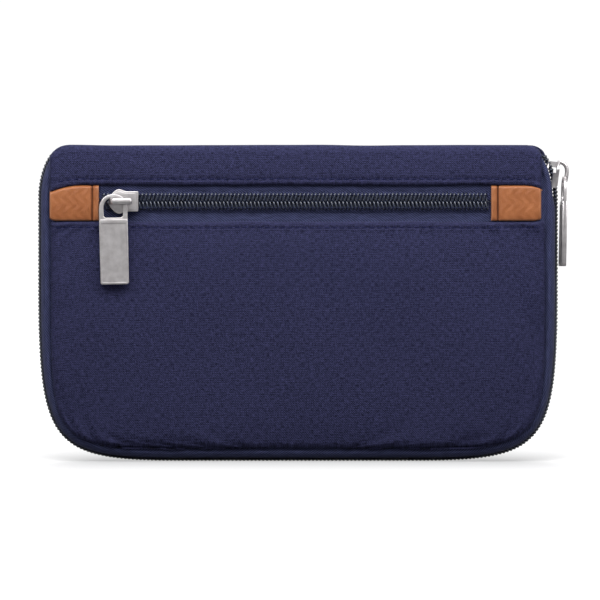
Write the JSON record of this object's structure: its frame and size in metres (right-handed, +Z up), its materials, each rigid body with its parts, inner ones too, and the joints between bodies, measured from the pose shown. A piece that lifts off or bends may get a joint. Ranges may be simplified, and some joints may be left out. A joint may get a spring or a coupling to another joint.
{
  "type": "travel document organizer",
  "caption": "Zip-around fabric travel document organizer with a front zip pocket, leather tabs, stiff covers, spine and inner card and document pockets.",
  "frame": {"origin": "middle of the bounding box, on the surface that the closed organizer stands on", "axes": "+X along the width, to the right seen from the front; -Y out of the front cover; +Z up towards the spine"},
  "size_m": [0.214, 0.0286, 0.1266],
  "materials": {
    "navy_fabric": "navy polyester canvas, fine plain weave, padded",
    "navy_tape": "navy twill zip tape",
    "coil_nylon": "black-navy nylon coil, slightly glossy",
    "tan_leather": "tan smooth leather, satin",
    "satin_nickel": "satin nickel plating",
    "stiffener_board": "plain polyethylene board",
    "elastic": "black woven elastic",
    "lining": "dark polyester lining"
  },
  "bodies": {
    "back_cover": {"back_panel": "navy_fabric", "back_board": "stiffener_board", "back_lining": "lining", "back_gusset": "navy_tape", "back_coil": "coil_nylon", "ticket_pocket": "lining", "passport_pocket": "lining"},
    "spine": {"spine_panel": "navy_fabric", "spine_stiffener": "stiffener_board", "spine_lining": "lining", "pen_loop": "elastic"},
    "front_cover": {"front_top_strip": "navy_fabric", "front_pocket_panel": "navy_fabric", "pocket_backing": "lining", "front_board": "stiffener_board", "front_lining": "lining", "pocket_tape_upper": "navy_tape", "pocket_tape_lower": "navy_tape", "pocket_coil_upper": "coil_nylon", "pocket_coil_lower": "coil_nylon", "leather_tab_left": "tan_leather", "leather_tab_right": "tan_leather", "front_gusset": "navy_tape", "front_coil": "coil_nylon", "card_slot_left_1": "lining", "card_slot_left_2": "lining", "card_slot_left_3": "lining", "card_slot_right_1": "lining", "card_slot_right_2": "lining", "card_slot_right_3": "lining"},
    "pocket_slider": {"pocket_slider": "satin_nickel"},
    "pocket_pull": {"pocket_pull": "satin_nickel"},
    "side_slider": {"side_slider": "satin_nickel"},
    "side_pull": {"side_pull": "satin_nickel"}
  },
  "joints": [
    {"name": "spine_fold", "type": "hinge", "parent": "back_cover", "child": "spine", "pos_m": [-0.00263, 0.01232, 0.1246], "axis": [-1, 0, 0], "range_deg": [0, 90]},
    {"name": "cover_fold", "type": "hinge", "parent": "spine", "child": "front_cover", "pos_m": [-0.00263, -0.00568, 0.1246], "axis": [-1, 0, 0], "range_deg": [0, 90]},
    {"name": "pocket_zip", "type": "slide", "parent": "front_cover", "child": "pocket_slider", "axis": [1, 0, 0], "range_m": [0, 0.139]},
    {"name": "pocket_pull_swing", "type": "hinge", "parent": "pocket_slider", "child": "pocket_pull", "pos_m": [-0.07652, -0.01153, 0.104], "axis": [0, -1, 0], "range_deg": [-75, 90]},
    {"name": "side_zip", "type": "slide", "parent": "back_cover", "child": "side_slider", "axis": [0, 0, -1], "range_m": [0, 0.055]},
    {"name": "side_pull_lift", "type": "hinge", "parent": "side_slider", "child": "side_pull", "pos_m": [0.10422, 0.00332, 0.1133], "axis": [0, -1, 0], "range_deg": [0, 140]}
  ],
  "couplings": [
    {"joint": "spine_fold", "follows": "cover_fold", "ratio": 1}
  ]
}
